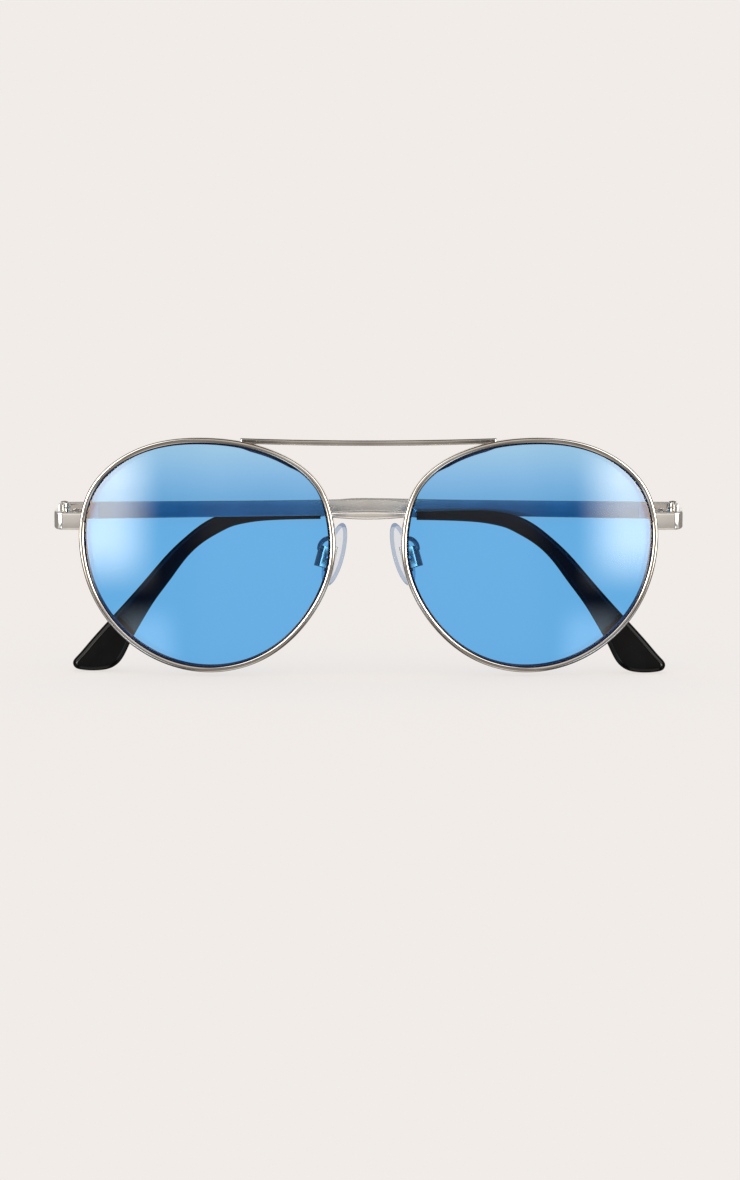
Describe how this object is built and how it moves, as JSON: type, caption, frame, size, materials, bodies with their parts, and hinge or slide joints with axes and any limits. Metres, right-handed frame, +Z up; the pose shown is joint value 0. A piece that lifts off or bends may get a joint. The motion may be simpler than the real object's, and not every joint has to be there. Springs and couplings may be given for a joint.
{
  "type": "aviator sunglasses",
  "caption": "Round-lens metal aviator sunglasses with a straight brow bar, blue lenses, clear nose pads and black temple tips, standing with both temples folded.",
  "frame": {"origin": "middle of the object's box, on the ground under the temple tips", "axes": "+Z up, +X to the viewer's right (the wearer's left), the front of the lenses faces -Y, the wearer's face is at +Y"},
  "size_m": [0.145, 0.0172, 0.0548],
  "materials": {
    "silver_metal": "polished, slightly warm silver",
    "screw_steel": "bright turned steel",
    "blue_lens": "polished, light blue tint",
    "black_tip": "glossy black",
    "clear_pad": "clear soft vinyl"
  },
  "bodies": {
    "front": {"rim_right": "silver_metal", "rim_left": "silver_metal", "brow_bar": "silver_metal", "bridge": "silver_metal", "lens_right": "blue_lens", "lens_left": "blue_lens", "endpiece_right": "silver_metal", "endpiece_left": "silver_metal", "closing_block_lower_right": "silver_metal", "closing_block_lower_left": "silver_metal", "closing_block_upper_right": "silver_metal", "closing_block_upper_left": "silver_metal", "closing_screw_right": "screw_steel", "closing_screw_left": "screw_steel", "hinge_front_leaf_right": "silver_metal", "hinge_front_leaf_left": "silver_metal", "hinge_screw_right": "screw_steel", "hinge_screw_left": "screw_steel", "pad_arm_right": "silver_metal", "pad_arm_left": "silver_metal", "pad_box_right": "silver_metal", "pad_box_left": "silver_metal", "pad_screw_right": "screw_steel", "pad_screw_left": "screw_steel"},
    "right_temple": {"temple_right": "silver_metal", "temple_tip_right": "black_tip", "hinge_temple_leaf_right": "silver_metal"},
    "left_temple": {"temple_left": "silver_metal", "temple_tip_left": "black_tip", "hinge_temple_leaf_left": "silver_metal"},
    "right_pad": {"nose_pad_right": "clear_pad", "pad_insert_right": "screw_steel"},
    "left_pad": {"nose_pad_left": "clear_pad", "pad_insert_left": "screw_steel"}
  },
  "joints": [
    {"name": "right_temple_fold", "type": "hinge", "parent": "front", "child": "right_temple", "pos_m": [-0.0701, 0.0032, 0.03731], "axis": [0, 0, 1], "range_deg": [0, 91]},
    {"name": "left_temple_fold", "type": "hinge", "parent": "front", "child": "left_temple", "pos_m": [0.0701, 0.0032, 0.03731], "axis": [0, 0, -1], "range_deg": [0, 89]},
    {"name": "right_pad_rock", "type": "hinge", "parent": "front", "child": "right_pad", "pos_m": [-0.00999, 0.00093, 0.02682], "axis": [-0.5, 0.866, 0], "range_deg": [-8, 8]},
    {"name": "left_pad_rock", "type": "hinge", "parent": "front", "child": "left_pad", "pos_m": [0.00999, 0.00093, 0.02682], "axis": [0.5, 0.866, 0], "range_deg": [-8, 8]}
  ]
}
